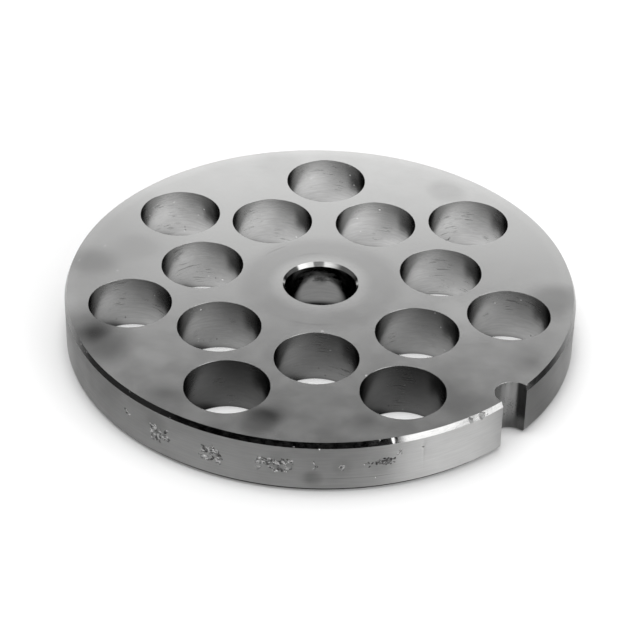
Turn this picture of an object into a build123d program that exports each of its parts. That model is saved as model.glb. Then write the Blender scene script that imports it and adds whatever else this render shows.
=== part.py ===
from build123d import *
import os

# Meat grinder plate: a flat disc with a centre bore, two circles of
# perforations set half a pitch apart, and a half-round keyway in the rim.
# Origin at the centre of the back face, +Z through the knife face, +X through
# the keyway. Millimetres and degrees.

# disc
outer_diameter = 99.2
thickness = 11.0
bore_diameter = 14.0
bore_edge_break = 0.35

# rim edges: the knife side has a steep chamfer, the back a smaller one
knife_chamfer_radial = 0.45
knife_chamfer_axial = 1.1
back_chamfer_radial = 0.7
back_chamfer_axial = 0.8

# perforations: both circles follow the rim, so the metal between them holds
hole_diameter = 16.0
holes_per_circle = 7
hole_back_break = 0.15
# metal left between the outer holes and the rim
rim_web = 4.35
# inner circle's radius as a share of the outer circle's
circle_ratio = 0.6443
# turn of the inner circle's first hole from the keyway
pattern_turn = 3.5
hole_pitch_angle = 360.0 / holes_per_circle

# keyway: a half-round groove whose centre lies just inside the rim
keyway_radius = 3.4
keyway_centre_inset = 0.65
keyway_back_break = 0.5

# dings across the knife-side chamfer: angle from the keyway, width, depth
rim_dings = [
    (-9.7, 1.0, 0.35),
    (-12.7, 0.9, 0.3),
    (-30.9, 0.6, 0.2),
]
ding_height = knife_chamfer_axial * 1.5

# how far a cutter runs past the face that it opens
overrun = 1.0

outer_radius = outer_diameter / 2
bore_radius = bore_diameter / 2
hole_radius = hole_diameter / 2
outer_circle_radius = outer_radius - rim_web - hole_radius
inner_circle_radius = outer_circle_radius * circle_ratio
keyway_centre_x = outer_radius - keyway_centre_inset


def disc():
    """The turned disc: half-section through bore and rim, revolved about Z."""
    with BuildPart() as part:
        with BuildSketch(Plane.XZ):
            with BuildLine():
                Polyline(
                    (bore_radius + bore_edge_break, 0),
                    (outer_radius - back_chamfer_radial, 0),
                    (outer_radius, back_chamfer_axial),
                    (outer_radius, thickness - knife_chamfer_axial),
                    (outer_radius - knife_chamfer_radial, thickness),
                    (bore_radius + bore_edge_break, thickness),
                    (bore_radius, thickness - bore_edge_break),
                    (bore_radius, bore_edge_break),
                    close=True,
                )
            make_face()
        revolve(axis=Axis.Z)
    return part.part


def relieved_cutter(radius, edge_break):
    """A through cutter that flares by edge_break where it leaves the back face."""
    flare = edge_break + overrun
    with BuildPart() as cutter:
        with Locations((0, 0, -overrun)):
            Cylinder(
                radius,
                thickness + 2 * overrun,
                align=(Align.CENTER, Align.CENTER, Align.MIN),
            )
            Cone(
                radius + flare,
                radius,
                flare,
                align=(Align.CENTER, Align.CENTER, Align.MIN),
            )
    return cutter.part


def perforations():
    """Both hole circles; the outer one is turned by half a pitch."""
    cutter = relieved_cutter(hole_radius, hole_back_break)
    inner = PolarLocations(
        inner_circle_radius, holes_per_circle, start_angle=pattern_turn
    )
    outer = PolarLocations(
        outer_circle_radius,
        holes_per_circle,
        start_angle=pattern_turn + hole_pitch_angle / 2,
    )
    return [place * cutter for place in [*inner, *outer]]


def keyway():
    """The half-round groove down the rim on +X, eased at the back face."""
    cutter = relieved_cutter(keyway_radius, keyway_back_break)
    return Pos(keyway_centre_x, 0, 0) * cutter


def rim_ding(angle, width, depth):
    """A V-shaped ding in the knife-side chamfer, its point towards the axis."""
    wedge = extrude(
        Polygon((-depth, 0), (depth, -width), (depth, width), align=None),
        amount=ding_height,
    )
    edge_radius = outer_radius - knife_chamfer_radial
    seat = Pos(edge_radius, 0, thickness - knife_chamfer_axial)
    return Rot(0, 0, angle) * seat * wedge


def grinder_plate():
    cutters = perforations()
    cutters.append(keyway())
    cutters += [rim_ding(*ding) for ding in rim_dings]
    return disc() - cutters


os.makedirs("parts", exist_ok=True)
plate = grinder_plate()
plate.label = "grinder_plate"
export_step(plate, "parts/grinder_plate.step")
print("volume mm3", round(plate.volume, 1), "valid", plate.is_valid)
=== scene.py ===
import bmesh
import bpy
import math
import random
from mathutils import Matrix, Vector


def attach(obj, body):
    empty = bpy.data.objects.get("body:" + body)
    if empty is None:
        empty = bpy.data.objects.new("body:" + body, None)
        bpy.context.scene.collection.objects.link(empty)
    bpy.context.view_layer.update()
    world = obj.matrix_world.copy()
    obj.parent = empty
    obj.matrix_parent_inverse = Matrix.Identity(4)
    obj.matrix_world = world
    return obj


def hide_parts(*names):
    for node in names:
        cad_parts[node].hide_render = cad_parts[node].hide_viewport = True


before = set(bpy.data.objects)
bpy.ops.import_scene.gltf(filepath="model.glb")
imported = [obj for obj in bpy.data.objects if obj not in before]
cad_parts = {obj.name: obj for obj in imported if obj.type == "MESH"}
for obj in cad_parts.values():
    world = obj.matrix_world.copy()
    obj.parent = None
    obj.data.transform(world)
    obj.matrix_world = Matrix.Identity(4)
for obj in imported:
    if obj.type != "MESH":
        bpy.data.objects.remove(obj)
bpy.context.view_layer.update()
print("frame loaded")

mm = 0.001
scene = bpy.context.scene
scene.view_settings.view_transform = "Standard"


def turn(degrees, axis):
    return Matrix.Rotation(math.radians(degrees), 4, axis)


def shift(x, y, z):
    return Matrix.Translation(Vector((x, y, z)) * mm)


def heading(azimuth):
    return Vector((math.cos(math.radians(azimuth)), math.sin(math.radians(azimuth)), 0))


# camera

cameraSetup = {
    "lens": 134.72,  # on a 36 mm sensor
    "place": (260.56, -278.38, 278.37),  # mm
    "azimuth": 43.1,
    "elevation": 35.9,
    "roll": 1.28,
}


def makeCamera(setup):
    data = bpy.data.cameras.new("camera")
    data.sensor_width = 36
    data.lens = setup["lens"]
    data.dof.use_dof = False
    data.clip_start, data.clip_end = 0.01, 20
    camera = bpy.data.objects.new("camera", data)
    scene.collection.objects.link(camera)
    camera.matrix_world = (shift(*setup["place"]) @ turn(setup["azimuth"], "Z")
                           @ turn(90 - setup["elevation"], "X") @ turn(setup["roll"], "Z"))
    scene.camera = camera


makeCamera(cameraSetup)
print("camera ready")


# mesh helpers

def linkMesh(bm, name, materials=()):
    mesh = bpy.data.meshes.new(name)
    bm.to_mesh(mesh)
    bm.free()
    for material in materials:
        mesh.materials.append(material)
    piece = bpy.data.objects.new(name, mesh)
    scene.collection.objects.link(piece)
    return piece


def spinProfile(bm, profile, steps, closed, place=Matrix.Identity(4)):
    # profile is (radius, height) in mm, spun about Z and then placed
    old = set(bm.verts)
    verts = [bm.verts.new((r * mm, 0, z * mm)) for r, z in profile]
    edges = [bm.edges.new(pair) for pair in zip(verts, verts[1:])]
    if closed:
        edges.append(bm.edges.new((verts[-1], verts[0])))
    bmesh.ops.spin(bm, geom=verts + edges, cent=(0, 0, 0), axis=(0, 0, 1),
                   angle=math.tau, steps=steps, use_merge=True)
    bmesh.ops.remove_doubles(bm, verts=[v for v in bm.verts if v not in old], dist=1e-7)
    bmesh.ops.transform(bm, matrix=place, verts=[v for v in bm.verts if v not in old])


def cut(piece, cutter, overlapping=False):
    boolean = piece.modifiers.new("cut", "BOOLEAN")
    boolean.operation = "DIFFERENCE"
    boolean.solver = "EXACT"
    boolean.use_self = overlapping
    boolean.object = cutter
    depsgraph = bpy.context.evaluated_depsgraph_get()
    mesh = bpy.data.meshes.new_from_object(piece.evaluated_get(depsgraph))
    piece.modifiers.clear()
    mesh.materials.clear()
    piece.data = mesh
    bpy.data.objects.remove(cutter)


# plate

plate = {
    "outerRadius": 49.6,
    "thickness": 11.0,
    "boreRadius": 7.0,
    "boreBreak": 0.4,  # on the back face
    "countersinkRadius": 7.4,  # on the knife face
    "countersinkAside": (-0.22, 0.24),  # it was cut a little off the bore's axis
    "knifeChamfer": (0.45, 1.1),  # in, down
    "backChamfer": (0.7, 0.8),
    "holeRadius": 8.0,
    "holesPerCircle": 7,
    "circles": ((24.0, 3.5), (37.25, 3.5 + 180 / 7)),  # radius, turn of the first hole
    "holeKnifeBreak": 0.05,
    "holeBackBreak": 0.15,
    "keywayRadius": 3.4,
    "keywayCentre": 48.95,
    "keywayBackBreak": 0.5,
    "rimSteps": 360,
    "holeSteps": 96,
}


def makeDisc(p):
    bm = bmesh.new()
    top, rim, bore, edge = p["thickness"], p["outerRadius"], p["boreRadius"], p["boreBreak"]
    knifeIn, knifeDown = p["knifeChamfer"]
    backIn, backUp = p["backChamfer"]
    profile = [
        (bore, edge), (bore + edge, 0), (rim - backIn, 0), (rim, backUp),
        (rim, top - knifeDown), (rim - knifeIn, top), (bore, top),
    ]
    spinProfile(bm, profile, p["rimSteps"], closed=True)
    bmesh.ops.recalc_face_normals(bm, faces=bm.faces)
    return linkMesh(bm, "grinderPlate")


def drill(bm, p, radius, knifeBreak, backBreak, place):
    # a through drill that eases the edge at both faces
    top, over = p["thickness"], 1.0
    profile = [
        (0, -over), (radius + backBreak + over, -over), (radius, backBreak),
        (radius, top - knifeBreak), (radius + knifeBreak + over, top + over), (0, top + over),
    ]
    spinProfile(bm, profile, p["holeSteps"], closed=False, place=place)


def drillHoles(piece, p):
    bm = bmesh.new()
    for circle, start in p["circles"]:
        for k in range(p["holesPerCircle"]):
            place = turn(start + 360 * k / p["holesPerCircle"], "Z") @ shift(circle, 0, 0)
            drill(bm, p, p["holeRadius"], p["holeKnifeBreak"], p["holeBackBreak"], place)
    drill(bm, p, p["keywayRadius"], 0.05, p["keywayBackBreak"], shift(p["keywayCentre"], 0, 0))
    bmesh.ops.recalc_face_normals(bm, faces=bm.faces)
    cut(piece, linkMesh(bm, "drills"))


def countersinkBore(piece, p):
    bm = bmesh.new()
    radius, top, over = p["countersinkRadius"], p["thickness"], 1.0
    x, y = p["countersinkAside"]
    spinProfile(bm, [(0, top - 2), (radius - 2, top - 2), (radius + over, top + over), (0, top + over)],
                180, closed=False, place=shift(x, y, 0))
    bmesh.ops.recalc_face_normals(bm, faces=bm.faces)
    cut(piece, linkMesh(bm, "countersink"))


grinderPlate = makeDisc(plate)
drillHoles(grinderPlate, plate)
countersinkBore(grinderPlate, plate)
print("plate cut:", len(grinderPlate.data.polygons), "faces")


# knocks and struck marks on the rim

rimWear = {
    # azimuth, height, width, tall, deep, twist: knocks on the knife edge and the wall
    "knocks": (
        (-12.7, 10.6, 2.1, 2.8, 0.84, 18), (-9.8, 10.6, 2.8, 3.1, 0.96, 16),
        (-46.3, 9.85, 0.6, 0.5, 0.14, 0), (-34.4, 2.7, 0.4, 0.4, 0.08, 0),
        (-24.3, 7.9, 0.9, 0.5, 0.06, 0), (64.0, 10.3, 0.9, 1.0, 0.25, 0),
        (151.0, 10.4, 0.7, 0.9, 0.2, 0), (-152.0, 10.35, 0.8, 0.9, 0.2, 0),
    ),
    # azimuth, spread in degrees, height, tall, dents, size, deep: patches beaten until nothing can be read
    "patches": (
        (-91.6, 0.8, 6.2, 1.4, 5, 0.9, 0.11), (-82.4, 2.3, 5.0, 3.0, 34, 1.0, 0.17),
        (-69.8, 2.4, 5.2, 3.1, 34, 1.0, 0.18), (-55.6, 3.7, 5.7, 2.8, 54, 0.9, 0.16),
        (-47.2, 0.3, 6.1, 2.0, 3, 0.8, 0.1), (-41.4, 0.6, 5.9, 2.8, 6, 0.7, 0.09),
        (-34.2, 3.6, 6.0, 1.3, 24, 0.5, 0.08), (-32.2, 1.9, 6.2, 1.3, 30, 0.55, 0.09),
        (-29.4, 0.6, 7.7, 1.4, 6, 0.5, 0.07),
    ),
    "seed": 4,
    "keywayPit": (45.66, 0.9, 2.5, 0.42),  # x, y, z, radius
}


def dentPlace(p, azimuth, height, width, tall, deep, lean=0, twist=0):
    # a ball stretched to this place stands proud of the wall and bites in by its depth
    proud = 0.6 * deep
    onWall = turn(azimuth, "Z") @ shift(p["outerRadius"] + proud, 0, height)
    stretch = Matrix.Diagonal((deep + proud, width * 0.62, tall * 0.62, 1))
    return onWall @ turn(lean, "X") @ turn(twist, "Z") @ stretch


def beatPatch(bm, p, chance, azimuth, spread, height, tall, dents, size, deep):
    for k in range(dents):
        place = dentPlace(p, azimuth + chance.uniform(-spread, spread),
                          height + chance.uniform(-0.5, 0.5) * tall,
                          size * chance.uniform(0.35, 0.75), size * chance.uniform(0.45, 1.4),
                          deep * chance.uniform(0.6, 1.1), chance.choice((0, 25, -40, 90, 70)))
        bmesh.ops.create_icosphere(bm, subdivisions=2, radius=mm, matrix=place)


def markRim(piece, p, wear):
    bm = bmesh.new()
    for azimuth, height, width, tall, deep, twist in wear["knocks"]:
        bmesh.ops.create_uvsphere(bm, u_segments=4, v_segments=2, radius=mm,
                                  matrix=dentPlace(p, azimuth, height, width, tall, deep, twist=twist))
    chance = random.Random(wear["seed"])
    for patch in wear["patches"]:
        beatPatch(bm, p, chance, *patch)
    x, y, z, radius = wear["keywayPit"]
    bmesh.ops.create_icosphere(bm, subdivisions=1, radius=radius * mm, matrix=shift(x, y, z))
    cut(piece, linkMesh(bm, "dents"), overlapping=True)


markRim(grinderPlate, plate, rimWear)


def finishShading(piece):
    bm = bmesh.new()
    bm.from_mesh(piece.data)
    bmesh.ops.remove_doubles(bm, verts=bm.verts, dist=2e-7)
    for face in bm.faces:
        face.smooth = True
    for e in bm.edges:
        e.smooth = len(e.link_faces) == 2 and e.calc_face_angle() < math.radians(20)
    bm.to_mesh(piece.data)
    bm.free()


finishShading(grinderPlate)
print("rim marked:", len(grinderPlate.data.polygons), "faces")


# node helpers

def newMaterial(name):
    material = bpy.data.materials.new(name)
    material.use_nodes = True
    tree = material.node_tree
    return material, tree, tree.nodes["Principled BSDF"]


def feed(tree, socket, value):
    if isinstance(value, bpy.types.NodeSocket):
        tree.links.new(value, socket)
    else:
        socket.default_value = value


def mathNode(tree, operation, a, b=0.0):
    node = tree.nodes.new("ShaderNodeMath")
    node.operation = operation
    feed(tree, node.inputs[0], a)
    feed(tree, node.inputs[1], b)
    return node.outputs[0]


def product(tree, first, *others):
    for other in others:
        first = mathNode(tree, "MULTIPLY", first, other)
    return first


def total(tree, first, *others):
    for other in others:
        first = mathNode(tree, "ADD", first, other)
    return first


def less(tree, a, b):
    return mathNode(tree, "SUBTRACT", a, b)


def vectorNode(tree, operation, a, b=None):
    node = tree.nodes.new("ShaderNodeVectorMath")
    node.operation = operation
    tree.links.new(a, node.inputs[0])
    if b is not None:
        feed(tree, node.inputs[1], b)
    return node.outputs["Value" if operation in ("DOT_PRODUCT", "LENGTH", "DISTANCE") else "Vector"]


def length(tree, vector):
    return vectorNode(tree, "LENGTH", vector)


def away(tree, place, spot):
    # how far a place is from a spot given in mm
    return vectorNode(tree, "DISTANCE", place, spot * mm)


def along(tree, place, direction):
    return vectorNode(tree, "DOT_PRODUCT", place, direction)


def splitPlace(tree, place):
    split = tree.nodes.new("ShaderNodeSeparateXYZ")
    tree.links.new(place, split.inputs[0])
    return split.outputs


def ramp(tree, value, fromMin, fromMax, toMin, toMax):
    node = tree.nodes.new("ShaderNodeMapRange")
    node.interpolation_type = "SMOOTHSTEP"
    limits = {"From Min": fromMin, "From Max": fromMax, "To Min": toMin, "To Max": toMax}
    for socket, number in limits.items():
        node.inputs[socket].default_value = number
    tree.links.new(value, node.inputs["Value"])
    return node.outputs["Result"]


def fade(tree, distance, span, start, end):
    # a ramp over a distance, its span in mm
    return ramp(tree, distance, span[0] * mm, span[1] * mm, start, end)


def varied(tree, pattern, middle, swing):
    # a noise made to swing about a middle value
    return ramp(tree, pattern, 0.3, 0.7, middle - swing, middle + swing)


def objectPlace(tree, stretch=(1, 1, 1)):
    place = tree.nodes.new("ShaderNodeTexCoord").outputs["Object"]
    return vectorNode(tree, "MULTIPLY", place, stretch)


def noise(tree, place, scale, detail=2.0):
    node = tree.nodes.new("ShaderNodeTexNoise")
    node.inputs["Scale"].default_value = scale
    node.inputs["Detail"].default_value = detail
    tree.links.new(place, node.inputs["Vector"])
    return node.outputs["Fac"]


def specks(tree, place, scale, size, share):
    # 1 inside a few small round spots, 0 elsewhere
    node = tree.nodes.new("ShaderNodeTexVoronoi")
    node.inputs["Scale"].default_value = scale
    tree.links.new(place, node.inputs["Vector"])
    spot = ramp(tree, node.outputs["Distance"], size * 0.5, size, 1.0, 0.0)
    pick = tree.nodes.new("ShaderNodeSeparateColor")
    tree.links.new(node.outputs["Color"], pick.inputs[0])
    return product(tree, spot, mathNode(tree, "GREATER_THAN", pick.outputs[0], 1 - share))


def bump(tree, height, distance, under=None):
    # distance in mm, laid over the bump under it
    node = tree.nodes.new("ShaderNodeBump")
    node.inputs["Distance"].default_value = distance * mm
    tree.links.new(height, node.inputs["Height"])
    if under is not None:
        tree.links.new(under, node.inputs["Normal"])
    return node.outputs["Normal"]


def paintSteel(tree, shader, tone, roughness, normal):
    # a plain grey steel: tone, roughness and normal vary over it
    colour = tree.nodes.new("ShaderNodeCombineColor")
    tree.links.new(tone, colour.inputs[0])
    tree.links.new(tone, colour.inputs[1])
    tree.links.new(product(tree, tone, 0.992), colour.inputs[2])  # a trace of warmth
    tree.links.new(colour.outputs[0], shader.inputs["Base Color"])
    tree.links.new(roughness, shader.inputs["Roughness"])
    tree.links.new(normal, shader.inputs["Normal"])
    shader.inputs["Metallic"].default_value = 1


def brushAlongWall(tree, shader, amount):
    # tool marks run round the wall, so the shine spreads up and down it
    upright = tree.nodes.new("ShaderNodeCombineXYZ")
    upright.inputs["Z"].default_value = 1
    tree.links.new(upright.outputs[0], shader.inputs["Tangent"])
    shader.inputs["Anisotropic"].default_value = amount


def paintGrazingShade(shader):
    # painted shade: the edge tint is set black, so a deep wall loses the bright glance that open steel has at
    # a low angle
    shader.inputs["Specular Tint"].default_value = (0, 0, 0, 1)


def wallSpot(p, azimuth, height):
    # a spot on the rim's wall, in mm
    return heading(azimuth) * p["outerRadius"] + Vector((0, 0, height))


# lapped faces

lappedFace = {
    "tone": 0.66,
    "roughness": 0.155,
    # x, y, radius, dark: where hands and cloths have left it duller, or brighter below zero
    "clouds": (
        (3.9, -45.2, 7.0, 0.5), (7.0, -43.4, 6.0, 0.2), (22.5, -38.4, 6.5, 0.58),
        (21.4, -33.5, 7.0, 0.28), (35.7, -25.1, 6.5, 0.58), (42.7, -9.5, 8.5, 0.5),
        (39.0, -5.0, 6.0, 0.2), (45.1, 9.7, 6.5, 0.46), (35.0, 28.1, 8.0, 0.34),
        (-36.6, -27.0, 6.0, 0.17), (-34.2, -16.5, 6.0, 0.08), (-4.9, 43.0, 5.0, 0.12),
        (-14.3, -42.1, 8.5, 0.44), (-23.1, -41.5, 7.5, 0.4), (-37.6, 24.2, 8.0, 0.06),
        (-6.1, -38.4, 8.0, -0.22), (43.2, 2.2, 7.0, -0.34), (28.5, 11.8, 9.0, -0.26),
        (33.4, -34.8, 6.0, -0.36), (13.0, -30.0, 8.0, -0.08), (-43.1, -19.8, 24.0, 0.18),
        (-17.1, -46.1, 15.0, 0.22), (-36.5, -30.5, 11.0, 0.1),
    ),
    "cloudUneven": 1.3,  # how far their outlines wander
    # from radius, to radius, duller inside, duller outside
    "rings": (
        (7.6, 10.8, -0.12, 0.15),  # kept polished by the knife's hub, greyer outside it
        (13.2, 17.5, 0.0, -0.15),
        (46.2, 48.6, 0.0, -0.05),
    ),
    "scuffs": ((13.5, -52.0, 22.0), (10.5, 146.0, 16.0), (14.6, 172.0, 12.0)),  # radius, azimuth, half spread
    "scuffWidth": (0.08, 0.28),
    "scuffDark": 0.1,
    "swell": 0.05,
    "grain": 0.0016,
    "pits": 0.03,
}


def makeLappedFace(f):
    material, tree, shader = newMaterial("lappedFace")
    place = objectPlace(tree)
    flat = objectPlace(tree, (1, 1, 0))
    fromAxis = length(tree, flat)
    haze = ramp(tree, noise(tree, place, 26, 1), 0.35, 0.7, 0.0, 0.04)
    wander = f["cloudUneven"] * mm
    uneven = ramp(tree, noise(tree, place, 75, 1), 0.32, 0.68, -wander, wander)
    for x, y, radius, dark in f["clouds"]:
        off = total(tree, away(tree, flat, Vector((x, y, 0))), uneven)
        haze = total(tree, haze, fade(tree, off, (radius * 0.15, radius), dark, 0.0))
    for start, end, inside, outside in f["rings"]:
        haze = total(tree, haze, fade(tree, fromAxis, (start, end), inside, outside))
    for radius, azimuth, spread in f["scuffs"]:
        off = mathNode(tree, "ABSOLUTE", less(tree, fromAxis, radius * mm))
        line = fade(tree, off, f["scuffWidth"], f["scuffDark"], 0.0)
        toward = along(tree, vectorNode(tree, "NORMALIZE", flat), heading(azimuth))
        near = ramp(tree, toward, math.cos(math.radians(spread)), 1.0, 0.0, 1.0)
        haze = total(tree, haze, product(tree, line, near))
    grain = noise(tree, place, 1500, 3)
    tone = less(tree, total(tree, f["tone"] - 0.01, product(tree, grain, 0.02)),
                product(tree, haze, f["tone"]))
    roughness = total(tree, product(tree, haze, 0.12),
                      varied(tree, noise(tree, place, 220, 4), f["roughness"], 0.015))
    normal = bump(tree, noise(tree, place, 28, 0), f["swell"])
    normal = bump(tree, grain, f["grain"], normal)
    pits = specks(tree, place, 260, 0.06, 0.2)
    normal = bump(tree, less(tree, 1.0, pits), f["pits"], normal)
    paintSteel(tree, shader, tone, roughness, normal)
    return material


# turned rim

turnedRim = {
    "tone": 0.66,
    "roughness": 0.46,
    "anisotropy": 0.95,
    # azimuth, height, radius, dark
    "smudges": (
        (-47.6, 3.2, 2.4, 0.2), (-41.5, 5.9, 2.6, 0.1), (-55.0, 6.2, 3.6, 0.12),
        (-83.0, 7.4, 3.2, 0.1), (-33.0, 5.6, 3.4, 0.12), (-49.0, 3.2, 2.2, 0.06),
    ),
    "streaks": ((-41.0, 3.1, 8.0), (-33.5, 3.0, 5.0)),  # azimuth, height, half length
    "streakDark": 0.22,
    "turnedLines": 0.001,
    "swell": 0.02,
}


def makeTurnedRim(f, p):
    material, tree, shader = newMaterial("turnedRim")
    place = objectPlace(tree)
    lines = noise(tree, objectPlace(tree, (0.05, 0.05, 1)), 3600, 3)
    dull = ramp(tree, noise(tree, place, 90, 3), 0.35, 0.7, 0.0, 0.07)
    for azimuth, height, radius, dark in f["smudges"]:
        off = away(tree, place, wallSpot(p, azimuth, height))
        dull = total(tree, dull, fade(tree, off, (radius * 0.3, radius), dark, 0.0))
    for azimuth, height, half in f["streaks"]:
        off = vectorNode(tree, "SUBTRACT", place, wallSpot(p, azimuth, height) * mm)
        off = vectorNode(tree, "MULTIPLY", off, (1 / half, 1 / half, 6))  # long and thin
        dull = total(tree, dull, fade(tree, length(tree, off), (0, 1), f["streakDark"], 0.0))
    tone = less(tree, varied(tree, lines, f["tone"], 0.025), product(tree, dull, f["tone"]))
    roughness = total(tree, product(tree, dull, 0.4),
                      varied(tree, noise(tree, place, 400, 3), f["roughness"], 0.03))
    normal = bump(tree, lines, f["turnedLines"])
    normal = bump(tree, noise(tree, place, 110, 2), f["swell"], normal)
    paintSteel(tree, shader, tone, roughness, normal)
    brushAlongWall(tree, shader, f["anisotropy"])
    return material


# struck marks

struckSteel = {
    "tone": (0.144, 0.828),  # darkest and brightest, swung by a noise: painted shade and painted glints of the struck marks
    "roughness": (0.42, 0.16),
    "dirtiest": (-33.0, 5.6, 3.4),  # azimuth, height, radius
    "dirt": 0.35,
    "dints": 0.02,
}


def makeStruckSteel(f, p):
    material, tree, shader = newMaterial("struckSteel")
    place = objectPlace(tree)
    patch = noise(tree, place, 1400, 3)
    azimuth, height, radius = f["dirtiest"]
    off = away(tree, place, wallSpot(p, azimuth, height))
    dirt = fade(tree, off, (radius * 0.7, radius), f["dirt"], 1.0)
    # painted shade and painted glints: the tone swings dark and bright by a noise over the marks
    tone = product(tree, ramp(tree, patch, 0.35, 0.65, *f["tone"]), dirt)
    normal = bump(tree, noise(tree, place, 2600, 2), f["dints"])
    paintSteel(tree, shader, tone, ramp(tree, patch, 0.3, 0.7, *f["roughness"]), normal)
    return material


# knocked edges

knockedEdge = {
    "tone": (0.33, 0.715),
    "roughness": (0.6, 0.48),
    "dints": 0.03,
}


def makeKnockedEdge(f):
    material, tree, shader = newMaterial("knockedEdge")
    place = objectPlace(tree)
    patch = noise(tree, place, 1800, 3)
    normal = bump(tree, noise(tree, place, 2600, 2), f["dints"])
    paintSteel(tree, shader, ramp(tree, patch, 0.35, 0.65, *f["tone"]),
               ramp(tree, patch, 0.3, 0.7, *f["roughness"]), normal)
    return material


# ground chamfers

cutChamfer = {
    "tone": (0.54, 0.61),
    "roughness": 0.125,
    # paler tone in the dots: a painted glint on small burrs
    "dotsBright": 0.12,
    "nick": (-30.6, 49.1, 0.6),  # azimuth, from the axis, radius: one short nick across the knife edge
    "nickDeep": 0.12,
    "cutLines": 0.0006,
    "dots": 0.02,
}


def makeCutChamfer(f):
    material, tree, shader = newMaterial("cutChamfer")
    place = objectPlace(tree)
    lines = noise(tree, objectPlace(tree, (0.06, 0.06, 1)), 5200, 2)
    dots = specks(tree, place, 1100, 0.3, 0.12)
    # small burrs: a real bump, and a painted glint in their paler tone
    tone = total(tree, ramp(tree, lines, 0.3, 0.7, *f["tone"]), product(tree, dots, f["dotsBright"]))
    roughness = varied(tree, noise(tree, place, 600, 3), f["roughness"], 0.035)
    azimuth, fromAxis, radius = f["nick"]
    off = away(tree, objectPlace(tree, (1, 1, 0)), heading(azimuth) * fromAxis)
    normal = bump(tree, lines, f["cutLines"])
    normal = bump(tree, dots, f["dots"], normal)
    normal = bump(tree, fade(tree, off, (0, radius), 0.0, 1.0), f["nickDeep"], normal)
    paintSteel(tree, shader, tone, roughness, normal)
    return material


# drilled holes

drilledWall = {
    "tone": 0.4,
    "roughness": 0.23,
    "anisotropy": 0.5,
    "scored": -0.16,  # change of tone in the deeper rings
    "bright": 0.6,  # painted glint: paler tone in the burrs, which also have a real bump
    "dirt": -0.3,  # in the specks that sit low in the hole
    "dirtHeight": (0.5, 4.0),
    "rings": 0.002,
    "grain": 0.01,
    "burrs": 0.03,
}


def makeDrilledWall(f):
    material, tree, shader = newMaterial("drilledWall")
    place = objectPlace(tree)
    height = along(tree, place, (0, 0, 1))
    rings = noise(tree, objectPlace(tree, (0.12, 0.12, 1)), 2800, 4)
    patch = noise(tree, place, 160, 3)
    scored = product(tree, ramp(tree, rings, 0.55, 0.66, 0.0, 1.0), ramp(tree, patch, 0.45, 0.62, 0.0, 1.0))
    # burrs: small specks with a real bump and a painted glint in their tone
    bright = product(tree, specks(tree, objectPlace(tree, (0.6, 0.6, 1)), 1300, 0.22, 0.12),
                     ramp(tree, noise(tree, place, 240, 1), 0.5, 0.62, 0.0, 1.0))
    dirt = product(tree, specks(tree, objectPlace(tree, (1, 1, 0.6)), 900, 0.17, 0.2),
                   fade(tree, height, f["dirtHeight"], 1.0, 0.1))
    tone = total(tree, varied(tree, rings, f["tone"], 0.025), product(tree, scored, f["scored"]),
                 product(tree, bright, f["bright"]), product(tree, dirt, f["dirt"]))
    roughness = total(tree, varied(tree, patch, f["roughness"], 0.03), product(tree, scored, 0.06))
    normal = bump(tree, rings, f["rings"])
    normal = bump(tree, noise(tree, objectPlace(tree, (0.5, 0.5, 1)), 5200, 1), f["grain"], normal)
    normal = bump(tree, bright, f["burrs"], normal)
    paintSteel(tree, shader, tone, roughness, normal)
    brushAlongWall(tree, shader, f["anisotropy"])
    paintGrazingShade(shader)
    return material


# bore, polished by the stud that turns in it

polishedBore = {
    "tone": 0.32,
    "roughness": 0.105,
    "band": ((6.2, 7.2), (8.8, 9.6)),  # a dull band: heights over which it starts and ends
    "worn": (133, 7.2, (0.4, 1.8)),  # azimuth, height, span of the spot that is worn most
    "wornDark": 0.7,
    "streaks": 0.0012,
}


def makePolishedBore(f, p):
    material, tree, shader = newMaterial("polishedBore")
    place = objectPlace(tree)
    height = along(tree, place, (0, 0, 1))
    streaks = noise(tree, objectPlace(tree, (0.1, 0.1, 1)), 1500, 4)
    start, end = f["band"]
    blotches = noise(tree, objectPlace(tree, (0.6, 0.6, 1)), 1500, 4)
    dull = product(tree, fade(tree, height, start, 0.0, 1.0), fade(tree, height, end, 1.0, 0.0),
                   ramp(tree, blotches, 0.42, 0.58, 0.0, 1.0))
    azimuth, up, span = f["worn"]
    off = away(tree, place, heading(azimuth) * p["boreRadius"] + Vector((0, 0, up)))
    dull = total(tree, dull, fade(tree, off, span, f["wornDark"], 0.0))
    tone = less(tree, varied(tree, streaks, f["tone"], 0.02), product(tree, dull, 0.12))
    roughness = total(tree, varied(tree, streaks, f["roughness"], 0.035), product(tree, dull, 0.1))
    paintSteel(tree, shader, tone, roughness, bump(tree, streaks, f["streaks"]))
    paintGrazingShade(shader)
    return material


# keyway, milled and a little pitted

milledKeyway = {
    "tone": 0.52,
    "roughness": 0.35,
    "anisotropy": 0.3,
    "pitsDark": 0.2,
    "stain": ((47.2, 47.9), (1.0, 2.0), (1.5, 4.8)),  # x, y and z over which the painted reflection, a dark band down the wall, sets in
    "stainTone": 0.2,
    "chatter": 0.003,
    "pits": 0.02,
}


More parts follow.
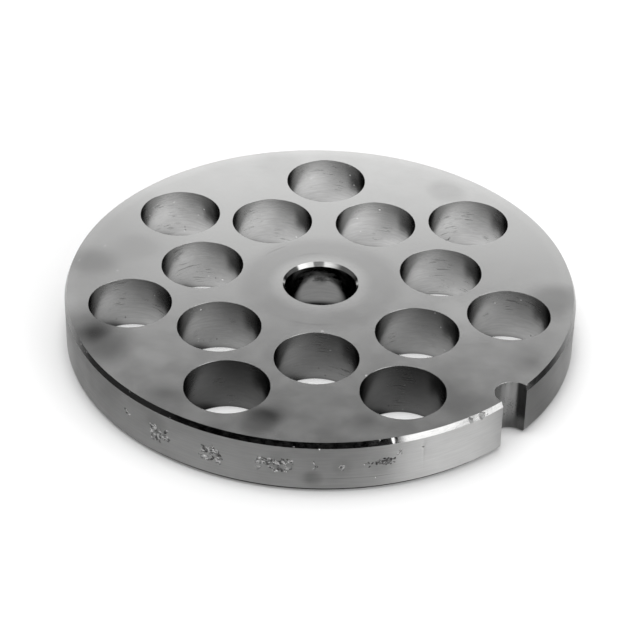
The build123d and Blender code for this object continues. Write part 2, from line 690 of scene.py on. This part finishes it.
def makeMilledKeyway(f):
    material, tree, shader = newMaterial("milledKeyway")
    place = objectPlace(tree)
    chatter = noise(tree, objectPlace(tree, (1, 1, 0.1)), 1300, 3)
    pits = product(tree, ramp(tree, noise(tree, place, 3800, 2), 0.55, 0.62, 0.0, 1.0),
                   ramp(tree, noise(tree, place, 420, 1), 0.42, 0.58, 0.0, 1.0))
    tone = less(tree, varied(tree, chatter, f["tone"], 0.05), product(tree, pits, f["pitsDark"]))
    # painted reflection: a dark band down the wall, fading out towards the bottom
    stain = product(tree, *[fade(tree, way, span, 0.0, 1.0)
                            for way, span in zip(splitPlace(tree, place), f["stain"])])
    tone = product(tree, tone, ramp(tree, stain, 0.0, 1.0, 1.0, f["stainTone"]))
    roughness = varied(tree, noise(tree, place, 500, 3), f["roughness"], 0.05)
    normal = bump(tree, chatter, f["chatter"])
    normal = bump(tree, less(tree, 1.0, pits), f["pits"], normal)
    paintSteel(tree, shader, tone, roughness, normal)
    brushAlongWall(tree, shader, f["anisotropy"])
    return material


finishes = {
    "lappedFace": makeLappedFace(lappedFace),
    "turnedRim": makeTurnedRim(turnedRim, plate),
    "cutChamfer": makeCutChamfer(cutChamfer),
    "drilledWall": makeDrilledWall(drilledWall),
    "polishedBore": makePolishedBore(polishedBore, plate),
    "milledKeyway": makeMilledKeyway(milledKeyway),
    "struckSteel": makeStruckSteel(struckSteel, plate),
    "knockedEdge": makeKnockedEdge(knockedEdge),
}

# how near a face lies to a feature that it belongs to, in mm
reach = {
    "rim": 0.8,
    "dented": 0.012,  # a wall face this far inside the rim is part of a dent
    "keyway": 0.6,
    "bore": 1.0,
}


def onChamfer(outward, inward, down):
    # whether a face leans as a chamfer of this size does
    return abs(outward - down / math.hypot(inward, down)) < 0.01


def finishOf(face, p, near):
    # which finish a face takes, by where it lies and which way it looks
    spot, level = face.center / mm, abs(face.normal.z)
    fromAxis = spot.xy.length
    outward = face.normal.xy.dot(spot.xy.normalized())
    toKeyway = Vector((p["keywayCentre"], 0)) - spot.xy
    inKeyway = toKeyway.length < p["keywayRadius"] + near["keyway"] and toKeyway.dot(face.normal.xy) > 0
    if level > 0.99:
        return "lappedFace"
    if inKeyway and fromAxis < p["outerRadius"] - 0.01:
        return "milledKeyway"
    if fromAxis > p["outerRadius"] - near["rim"]:
        if p["backChamfer"][1] < spot.z < p["thickness"] - p["knifeChamfer"][1]:
            return "struckSteel" if fromAxis < p["outerRadius"] - near["dented"] else "turnedRim"
        leans = onChamfer(outward, *p["knifeChamfer"]) or onChamfer(outward, *p["backChamfer"])
        return "cutChamfer" if leans else "knockedEdge"
    if fromAxis < p["boreRadius"] + near["bore"]:
        return "polishedBore" if level < 0.1 else "cutChamfer"
    return "drilledWall"


def assignFinishes(piece, p, near):
    slots = {name: slot for slot, name in enumerate(finishes)}
    for finish in finishes.values():
        piece.data.materials.append(finish)
    for face in piece.data.polygons:
        face.material_index = slots[finishOf(face, p, near)]


assignFinishes(grinderPlate, plate, reach)
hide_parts("grinder_plate")
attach(grinderPlate, "root")
print("finishes assigned")


# studio

studio = {
    "backAzimuth": 133.1,  # the backdrop stands behind the plate, opposite the camera
    "keyAzimuth": 10.5,  # the tall softbox stands front right
    "room": (0.13, (0.15, 0.5)),  # strength, heights over which it sets in
    # strength, how squarely it is faced at its sides, heights at which it ends, and starts
    "backdrop": (1.22, (0.65, 0.87), (0.5, 0.62), None),
    "softbox": (1.8, (0.9, 0.935), (0.7, 0.8), None),
    "fill": (0.4, (-0.1, 0.3), (0.38, 0.48), (0.18, 0.22)),  # a dim strip of wall on the camera's side
    "roof": (1.3, (0.68, 0.82)),  # strength, heights over which it sets in
    "roofGap": (-39.0, (0.92, 0.955), (0.84, 0.9)),  # azimuth and sides of the dark gap low in the roof
    "gapDark": 0.85,
    "zenith": (0.4, (0.9, 0.97)),  # the roof is dimmer straight above
    "lamp": (208.0, 80.0, 1.0, 45.0),  # azimuth, elevation, strength, softness in degrees
}


def panel(tree, around, up, azimuth, strength, sides, top, foot):
    # one lit wall of the studio
    light = product(tree, ramp(tree, along(tree, around, heading(azimuth)), *sides, 0.0, 1.0),
                    ramp(tree, up, *top, strength, 0.0))
    return product(tree, light, ramp(tree, up, *foot, 0.0, 1.0)) if foot else light


def roofLight(tree, around, up, s):
    strength, start = s["roof"]
    azimuth, sides, height = s["roofGap"]
    gap = product(tree, ramp(tree, along(tree, around, heading(azimuth)), *sides, 0.0, -s["gapDark"]),
                  ramp(tree, up, *height, 1.0, 0.0))
    share, top = s["zenith"]
    return product(tree, ramp(tree, up, *start, 0.0, strength), total(tree, gap, 1.0),
                   ramp(tree, up, *top, 1.0, share))


def makeWorld(s):
    world = bpy.data.worlds.new("studio")
    scene.world = world
    world.use_nodes = True
    tree = world.node_tree
    way = tree.nodes.new("ShaderNodeTexCoord").outputs["Generated"]
    up = along(tree, way, (0, 0, 1))
    around = vectorNode(tree, "NORMALIZE", vectorNode(tree, "MULTIPLY", way, (1, 1, 0)))
    strength, start = s["room"]
    light = total(tree, ramp(tree, up, *start, 0.0, strength), roofLight(tree, around, up, s),
                  panel(tree, around, up, s["backAzimuth"], *s["backdrop"]),
                  panel(tree, around, up, s["keyAzimuth"], *s["softbox"]),
                  panel(tree, around, up, s["backAzimuth"] + 180, *s["fill"]))
    # the camera sees it white
    path = tree.nodes.new("ShaderNodeLightPath")
    light = mathNode(tree, "MAXIMUM", light, path.outputs["Is Camera Ray"])
    background = tree.nodes["Background"]
    background.inputs["Color"].default_value = (1, 1, 1, 1)
    tree.links.new(light, background.inputs["Strength"])


def makeLamp(s):
    # a soft lamp overhead that lights the table down to the foot of the plate
    azimuth, elevation, strength, softness = s["lamp"]
    data = bpy.data.lights.new("tableLamp", "SUN")
    data.energy = strength
    data.angle = math.radians(softness)
    lamp = bpy.data.objects.new("tableLamp", data)
    lamp.matrix_world = turn(azimuth - 90, "Z") @ turn(elevation - 90, "X")
    lamp.visible_glossy = False
    scene.collection.objects.link(lamp)


# table: the camera sees it pale, with painted shade at the plate's foot and painted light where it shows
# through the holes, and the steel sees it in painted light and shade, lit only where it is open

table = {
    "size": 3.0,  # metres
    "below": 0.02,  # mm under the plate
    "palenessWithPaintedShade": (0.7, 0.9),  # painted shade under the plate's foot, pale in the open
    "footShade": 3.0,  # how far the painted shade at the plate's foot reaches
    "lift": 0.09,  # how much paler it looks than it is lit
    "paintedHoleLight": 0.3,  # and more where it shows through the holes: painted light over the plate's shadow there
    "holeEdge": (7.9, 8.4),
    # in the steel, painted light and shade
    "paintedLightInSteel": ((-50, 50), 0.5, 0.7),  # painted light: its tone from front to back, paler at the back
    "paintedPoolFalloff": ((55, 92), 0.05),  # and how the painted pool of light darkens away from the plate
    # painted shade: the table is black in the steel under the plate, up to its edge
    "paintedShadeUnderPlate": (48.4, 50.6),
    "keywayShade": (13, 60, (4, 18), 0.4),  # azimuth, from the axis, span, share left
    "softboxFoot": (300, (100, 190), 0.95),  # from the axis, span, tone
    "softboxGlow": ((100, 200), 0.6),
}

# light on the table below the holes
underGlow = {
    "holes": 1.45,
    "fromFront": (-51, 38),  # it fades toward the front
    "aside": ((-8, 8), 0.45, 1.2),  # across each hole
    "corner": (8.4, (2.0, 4.2), 0.25),  # the dark corner at each hole's back left
    "wall": ((6.6, 8.3), 0.5),  # dimmer at the foot of each hole's wall
    "rim": (47.5, 49.5),
    "boreEdge": (8, 10),
    "bore": 0.62,  # in the bore only a spot in the middle catches light
    "boreSpot": (0.3, (3.5, 5.4)),
}


def paintedTableLight(tree, place, t, s):
    # how pale the open table looks in the steel: painted light and shade
    fromAxis = length(tree, place)
    span, front, back = t["paintedLightInSteel"]
    tone = fade(tree, along(tree, place, heading(s["backAzimuth"])), span, front, back)
    span, least = t["paintedPoolFalloff"]
    tone = product(tree, tone, fade(tree, fromAxis, span, 1.0, least))
    # the plate shades it right of the keyway, and it is bright again at the foot of the softbox
    azimuth, distance, span, share = t["keywayShade"]
    tone = product(tree, tone, fade(tree, away(tree, place, heading(azimuth) * distance), span, share, 1.0))
    distance, span, foot = t["softboxFoot"]
    fromFoot = away(tree, place, heading(s["keyAzimuth"]) * distance)
    tone = total(tree, tone, fade(tree, fromFoot, span, foot, 0.0))
    # painted shade under the plate
    return product(tree, tone, fade(tree, fromAxis, t["paintedShadeUnderPlate"], 0.0, 1.0))


def fromAxes(tree, place, angle, radius, start, count):
    # from the axis of the nearest hole on one circle
    step = math.tau / count
    hole = mathNode(tree, "ROUND", mathNode(tree, "DIVIDE", less(tree, angle, math.radians(start)), step))
    turned = total(tree, math.radians(start), product(tree, hole, step))
    axis = tree.nodes.new("ShaderNodeCombineXYZ")
    for way, operation in (("X", "COSINE"), ("Y", "SINE")):
        tree.links.new(product(tree, mathNode(tree, operation, turned), radius * mm), axis.inputs[way])
    return vectorNode(tree, "SUBTRACT", place, axis.outputs[0])


def fromHole(tree, place, p):
    # where a spot on the table lies from the axis of the hole above it
    ways = splitPlace(tree, place)
    angle = mathNode(tree, "ARCTAN2", ways["Y"], ways["X"])
    inner, outer = [fromAxes(tree, place, angle, radius, start, p["holesPerCircle"])
                    for radius, start in p["circles"]]
    nearer = tree.nodes.new("ShaderNodeMix")
    nearer.data_type = "VECTOR"
    inside = mathNode(tree, "LESS_THAN", length(tree, inner), length(tree, outer))
    for socket, value in ((0, inside), (4, outer), (5, inner)):
        tree.links.new(value, nearer.inputs[socket])
    return nearer.outputs[1]


def glowBelow(tree, place, hole, s, g):
    # the light that the steel sees on the table below it
    fromAxis = length(tree, place)
    asideWay, cornerWay = heading(s["backAzimuth"] - 90), heading(s["backAzimuth"] + 40)
    across, left, right = g["aside"]
    cornerAway, cornerSpan, cornerShare = g["corner"]
    wallSpan, wallShare = g["wall"]
    holes = product(
        tree,
        fade(tree, along(tree, place, heading(s["backAzimuth"])), g["fromFront"], 0.0, g["holes"]),
        fade(tree, along(tree, hole, asideWay), across, left, right),
        fade(tree, away(tree, hole, cornerWay * cornerAway), cornerSpan, cornerShare, 1.0),
        fade(tree, length(tree, hole), wallSpan, 1.0, wallShare),
        fade(tree, fromAxis, g["rim"], 1.0, 0.0),
        fade(tree, fromAxis, g["boreEdge"], 0.0, 1.0))
    distance, span = g["boreSpot"]
    return total(tree, holes, fade(tree, away(tree, place, asideWay * distance), span, g["bore"], 0.0))


def makeFloor(p, s, t, g):
    bm = bmesh.new()
    bmesh.ops.create_circle(bm, cap_ends=True, radius=t["size"], segments=64, matrix=shift(0, 0, -t["below"]))
    material, tree, shader = newMaterial("paleFloor")
    shader.inputs["Roughness"].default_value = 1
    shader.inputs["Specular IOR Level"].default_value = 0
    shader.inputs["Emission Color"].default_value = (1, 1, 1, 1)
    place = tree.nodes.new("ShaderNodeTexCoord").outputs["Object"]
    hole = fromHole(tree, place, p)
    path = tree.nodes.new("ShaderNodeLightPath").outputs
    # painted light: the table glows brighter to the camera where it shows through the holes
    holeLightPaint = fade(tree, length(tree, hole), t["holeEdge"], t["paintedHoleLight"], 0.0)
    seen = product(tree, path["Is Camera Ray"], total(tree, holeLightPaint, t["lift"]))
    # in the steel it also glows at the foot of the softbox
    fromFoot = away(tree, place, heading(s["keyAzimuth"]) * t["softboxFoot"][0])
    span, footGlow = t["softboxGlow"]
    glow = total(tree, glowBelow(tree, place, hole, s, g), fade(tree, fromFoot, span, footGlow, 0.0))
    tree.links.new(total(tree, seen, product(tree, path["Is Glossy Ray"], glow)),
                   shader.inputs["Emission Strength"])
    # painted contact shade: the floor's own colour darkens by ambient occlusion near the plate
    contact = tree.nodes.new("ShaderNodeAmbientOcclusion")
    contact.inputs["Distance"].default_value = t["footShade"] * mm
    paleWithPaintedShade = ramp(tree, contact.outputs["AO"], 0.4, 1.0, *t["palenessWithPaintedShade"])
    mix = tree.nodes.new("ShaderNodeMix")
    mix.data_type = "FLOAT"
    for socket, value in ((0, path["Is Glossy Ray"]), (2, paleWithPaintedShade), (3, paintedTableLight(tree, place, t, s))):
        tree.links.new(value, mix.inputs[socket])
    tree.links.new(mix.outputs[0], shader.inputs["Base Color"])
    linkMesh(bm, "floor", [material])


makeFloor(plate, studio, table, underGlow)
makeLamp(studio)
makeWorld(studio)
print("studio ready")
